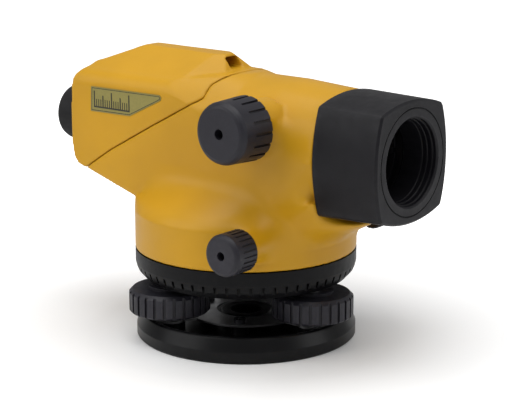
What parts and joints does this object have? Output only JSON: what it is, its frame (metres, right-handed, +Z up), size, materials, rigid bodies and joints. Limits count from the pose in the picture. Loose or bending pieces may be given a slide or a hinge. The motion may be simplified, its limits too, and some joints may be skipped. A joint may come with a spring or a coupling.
{
  "type": "automatic level",
  "caption": "Surveying automatic level: self-levelling telescope on a round drum with tangent drive, three foot screws and a tripod base plate.",
  "frame": {"origin": "centre of the tripod thread's mouth, on the base plate's bottom face", "axes": "+Z up, +X along the line of sight towards the objective, -Y the side with the focusing knob"},
  "size_m": [0.214, 0.13, 0.1388],
  "materials": {
    "black_cast": "semi-gloss black paint",
    "yellow_paint": "satin paint",
    "yellow_plastic": "satin moulded and painted",
    "knob_plastic": "fine-grained, matt",
    "hood_plastic": "fine-grained, matt",
    "eyecup_rubber": "matt",
    "steel": "turned",
    "spring_steel": "rolled",
    "brass": "turned",
    "alloy": "machined",
    "black_alloy": "matt black anodised",
    "circle_alloy": "matt white, engraved divisions",
    "ring_plastic": "matt",
    "glass": "polished",
    "vial_glass": "polished, tinted liquid",
    "label_foil": "satin foil",
    "mirror": "polished"
  },
  "bodies": {
    "base": {"base_plate": "black_cast", "spring_plate": "spring_steel", "spring_plate_screws": "steel"},
    "foot_screw_unit_a": {"foot_screw_a": "steel", "foot_knob_a": "knob_plastic"},
    "foot_screw_unit_b": {"foot_screw_b": "steel", "foot_knob_b": "knob_plastic"},
    "foot_screw_unit_c": {"foot_screw_c": "steel", "foot_knob_c": "knob_plastic"},
    "level_corner_a": {"foot_nut_a": "brass"},
    "level_corner_b": {"foot_nut_b": "brass"},
    "tribrach_unit": {"tribrach": "black_cast", "foot_nut_c": "brass", "tension_screws": "steel", "axis_bush": "brass", "bottom_cap": "ring_plastic", "wheel_retaining_rings": "steel"},
    "circle_unit": {"positioning_ring": "ring_plastic", "horizontal_circle": "circle_alloy"},
    "wheel_unit": {"worm_wheel": "brass", "friction_spring": "spring_steel"},
    "alidade": {"main_casting": "yellow_paint", "rear_cover": "yellow_plastic", "label_plate": "label_foil", "rear_bulkhead": "black_alloy", "cover_screws": "steel", "spindle": "steel", "spindle_screws": "steel", "circle_window": "glass", "objective_hood": "hood_plastic", "objective_cell": "black_alloy", "objective_doublet": "glass", "objective_retaining_ring": "black_alloy", "focus_guide_tube": "black_alloy", "focus_bush": "brass", "tangent_bushes": "brass", "eyepiece_sleeve": "black_alloy", "reticle": "glass", "reticle_ring": "black_alloy", "compensator_frame": "alloy", "fixed_prisms": "glass", "damping_magnets": "steel", "level_housing": "black_alloy", "level_vial": "vial_glass", "mirror_pin": "steel"},
    "tangent_shaft_unit": {"worm_shaft": "steel", "tangent_knobs": "knob_plastic"},
    "focus_knob_unit": {"focus_shaft": "steel", "focus_knob": "knob_plastic"},
    "focus_slide": {"focus_lens_cell": "brass", "focus_rack": "brass", "focus_lens": "glass"},
    "eyepiece_slide": {"eyepiece_barrel": "black_alloy", "eye_lenses": "glass"},
    "dioptre_unit": {"dioptre_ring": "knob_plastic", "eyecup": "eyecup_rubber"},
    "pendulum_unit": {"pendulum": "alloy", "pendulum_prism": "glass", "suspension_wires": "spring_steel"},
    "level_mirror": {"mirror_frame": "mirror"}
  },
  "joints": [
    {"name": "foot_screw_a_turn", "type": "hinge", "parent": "base", "child": "foot_screw_unit_a", "pos_m": [-0.01888, -0.03565, 0.021], "axis": [0, 0, 1], "range_deg": [-616, 616]},
    {"name": "foot_screw_b_turn", "type": "hinge", "parent": "base", "child": "foot_screw_unit_b", "pos_m": [0.04031, 0.00148, 0.021], "axis": [0, 0, 1], "range_deg": [-616, 616]},
    {"name": "foot_screw_c_turn", "type": "hinge", "parent": "base", "child": "foot_screw_unit_c", "pos_m": [-0.02144, 0.03417, 0.021], "axis": [0, 0, 1], "range_deg": [-616, 616]},
    {"name": "tilt_a", "type": "hinge", "parent": "base", "child": "level_corner_a", "pos_m": [0.00944, 0.01783, 0.036], "axis": [-0.8838, 0.4679, 0], "range_deg": [-1.2, 1.2]},
    {"name": "tilt_b", "type": "hinge", "parent": "level_corner_a", "child": "level_corner_b", "pos_m": [-0.02016, -0.00074, 0.036], "axis": [0.0366, -0.9993, 0], "range_deg": [-1.2, 1.2]},
    {"name": "tilt_c", "type": "hinge", "parent": "level_corner_b", "child": "tribrach_unit", "pos_m": [0.01072, -0.01709, 0.036], "axis": [0.8471, 0.5314, 0], "range_deg": [-1.2, 1.2]},
    {"name": "circle_turn", "type": "hinge", "parent": "tribrach_unit", "child": "circle_unit", "pos_m": [0, 0, 0.0445], "axis": [0, 0, 1], "continuous": true},
    {"name": "coarse_swing", "type": "hinge", "parent": "tribrach_unit", "child": "wheel_unit", "pos_m": [0, 0, 0.058], "axis": [0, 0, 1], "continuous": true},
    {"name": "fine_swing", "type": "hinge", "parent": "wheel_unit", "child": "alidade", "pos_m": [0, 0, 0.058], "axis": [0, 0, 1], "continuous": true},
    {"name": "tangent_screw_turn", "type": "hinge", "parent": "alidade", "child": "tangent_shaft_unit", "pos_m": [0.03913, 0, 0.0582], "axis": [0, 1, 0], "continuous": true},
    {"name": "focus_knob_turn", "type": "hinge", "parent": "alidade", "child": "focus_knob_unit", "pos_m": [0.0322, -0.0373, 0.1118], "axis": [0, -1, 0], "range_deg": [-133, 133]},
    {"name": "focus_travel", "type": "slide", "parent": "alidade", "child": "focus_slide", "axis": [1, 0, 0], "range_m": [-0.0069, 0.0069]},
    {"name": "dioptre_turn", "type": "hinge", "parent": "alidade", "child": "dioptre_unit", "pos_m": [-0.1, 0, 0.09826], "axis": [1, 0, 0], "range_deg": [-116, 116]},
    {"name": "eyepiece_travel", "type": "slide", "parent": "alidade", "child": "eyepiece_slide", "axis": [1, 0, 0], "range_m": [-0.002, 0.002]},
    {"name": "compensator_swing", "type": "hinge", "parent": "alidade", "child": "pendulum_unit", "pos_m": [-0.036, 0, 0.112], "axis": [0, 1, 0], "range_deg": [-0.25, 0.25], "stiffness_Nm_per_rad": 0.02},
    {"name": "level_mirror_fold", "type": "hinge", "parent": "alidade", "child": "level_mirror", "pos_m": [0.0066, 0.043, 0.085], "axis": [0, 1, 0], "range_deg": [-46, 22]}
  ],
  "couplings": [
    {"joint": "foot_screw_a_turn", "follows": "tilt_a", "ratio": -506.93},
    {"joint": "foot_screw_b_turn", "follows": "tilt_b", "ratio": -506.93},
    {"joint": "foot_screw_c_turn", "follows": "tilt_c", "ratio": -506.93},
    {"joint": "tangent_screw_turn", "follows": "fine_swing", "ratio": 85},
    {"joint": "focus_knob_turn", "follows": "focus_travel", "rad_per_m": 333.33},
    {"joint": "dioptre_turn", "follows": "eyepiece_travel", "rad_per_m": 1000}
  ]
}
